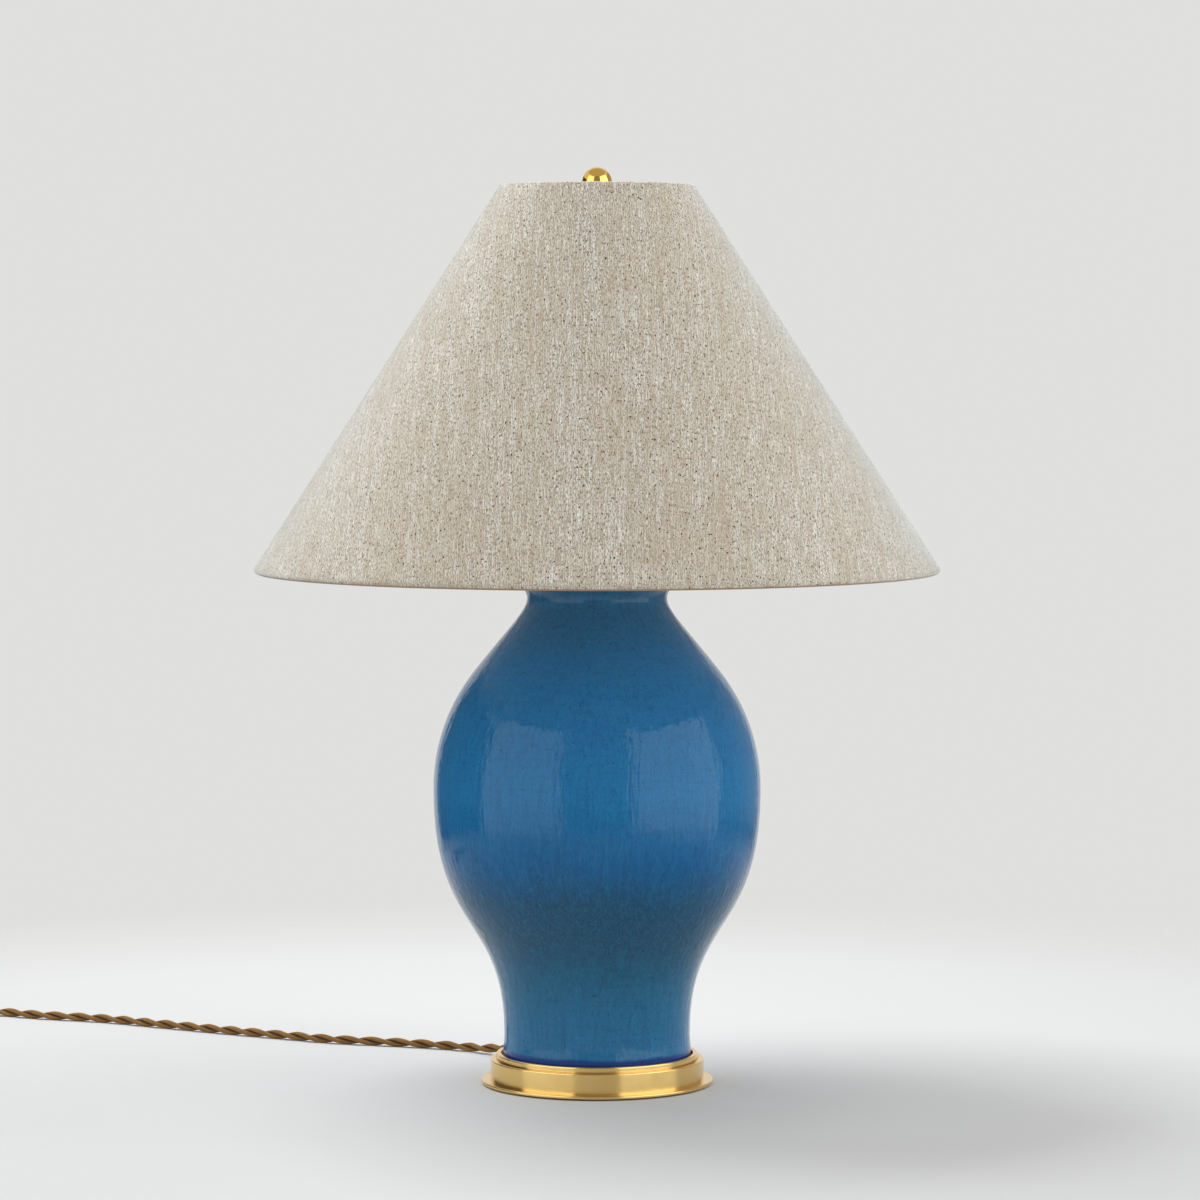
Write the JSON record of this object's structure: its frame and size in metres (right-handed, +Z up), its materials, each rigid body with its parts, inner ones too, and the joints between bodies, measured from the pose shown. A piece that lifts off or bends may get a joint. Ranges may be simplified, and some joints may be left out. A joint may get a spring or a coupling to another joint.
{
  "type": "ceramic table lamp",
  "caption": "Table lamp with a glazed baluster vase on a stepped brass base, a wide cone shade carried by a harp, a turn-knob socket and a twisted cloth cord.",
  "frame": {"origin": "on the table, under the middle of the base", "axes": "+Z up along the vase's axis; the switch's knob points to -Y; the cord leaves to the back left, between -X and +Y"},
  "size_m": [0.8994, 0.6045, 0.6812],
  "materials": {
    "polished_brass": "polished",
    "brass": "satin",
    "felt": "matte",
    "iron": "rough",
    "steel": "satin",
    "brown_plastic": "satin",
    "rubber_ring": "matte",
    "blue_glaze": "glossy crackle glaze",
    "card": "matte",
    "phenolic": "matte",
    "aluminium": "satin",
    "bulb_glass": "frosted",
    "insulation": "matte",
    "linen": "matte woven",
    "styrene": "matte",
    "cord_cloth": "matte woven"
  },
  "bodies": {
    "lamp": {"base_shell": "polished_brass", "base_felt": "felt", "base_ballast": "iron", "base_washer": "steel", "base_nut": "brass", "cord_bushing": "brown_plastic", "foot_gasket": "rubber_ring", "vase_body": "blue_glaze", "center_pipe": "steel", "vase_cap": "polished_brass", "stem_neck": "polished_brass", "harp_saddle": "brass", "saddle_nut": "brass", "harp_wire": "brass", "harp_seat": "brass", "socket_cap": "brass", "socket_shell": "brass", "socket_liner": "card", "socket_body": "phenolic", "screw_shell": "aluminium", "center_contact": "brass", "terminal_screws": "steel", "bulb_base": "aluminium", "bulb_glass": "bulb_glass", "inner_wires": "insulation", "cord_run": "cord_cloth", "cord_coil": "cord_cloth", "cord_tail": "cord_cloth", "plug_body": "brown_plastic", "plug_blades": "brass"},
    "shade": {"shade_cover": "linen", "shade_lining": "styrene", "shade_top_frame": "brass", "shade_bottom_ring": "steel"},
    "finial": {"finial": "polished_brass"},
    "switch": {"switch_knob": "brown_plastic"},
    "sleeve_left": {"harp_sleeve_left": "polished_brass"},
    "sleeve_right": {"harp_sleeve_right": "polished_brass"}
  },
  "joints": [
    {"name": "shade_turn", "type": "hinge", "parent": "lamp", "child": "shade", "pos_m": [0, 0, 0.6552], "axis": [0, 0, 1], "continuous": true},
    {"name": "finial_turn", "type": "hinge", "parent": "lamp", "child": "finial", "pos_m": [0, 0, 0.67], "axis": [0, 0, 1], "continuous": true},
    {"name": "switch_turn", "type": "hinge", "parent": "lamp", "child": "switch", "pos_m": [0, -0.026, 0.4332], "axis": [0, 1, 0], "continuous": true},
    {"name": "sleeve_left_lift", "type": "slide", "parent": "lamp", "child": "sleeve_left", "axis": [0, 0, 1], "range_m": [0, 0.012]},
    {"name": "sleeve_right_lift", "type": "slide", "parent": "lamp", "child": "sleeve_right", "axis": [0, 0, 1], "range_m": [0, 0.012]}
  ]
}
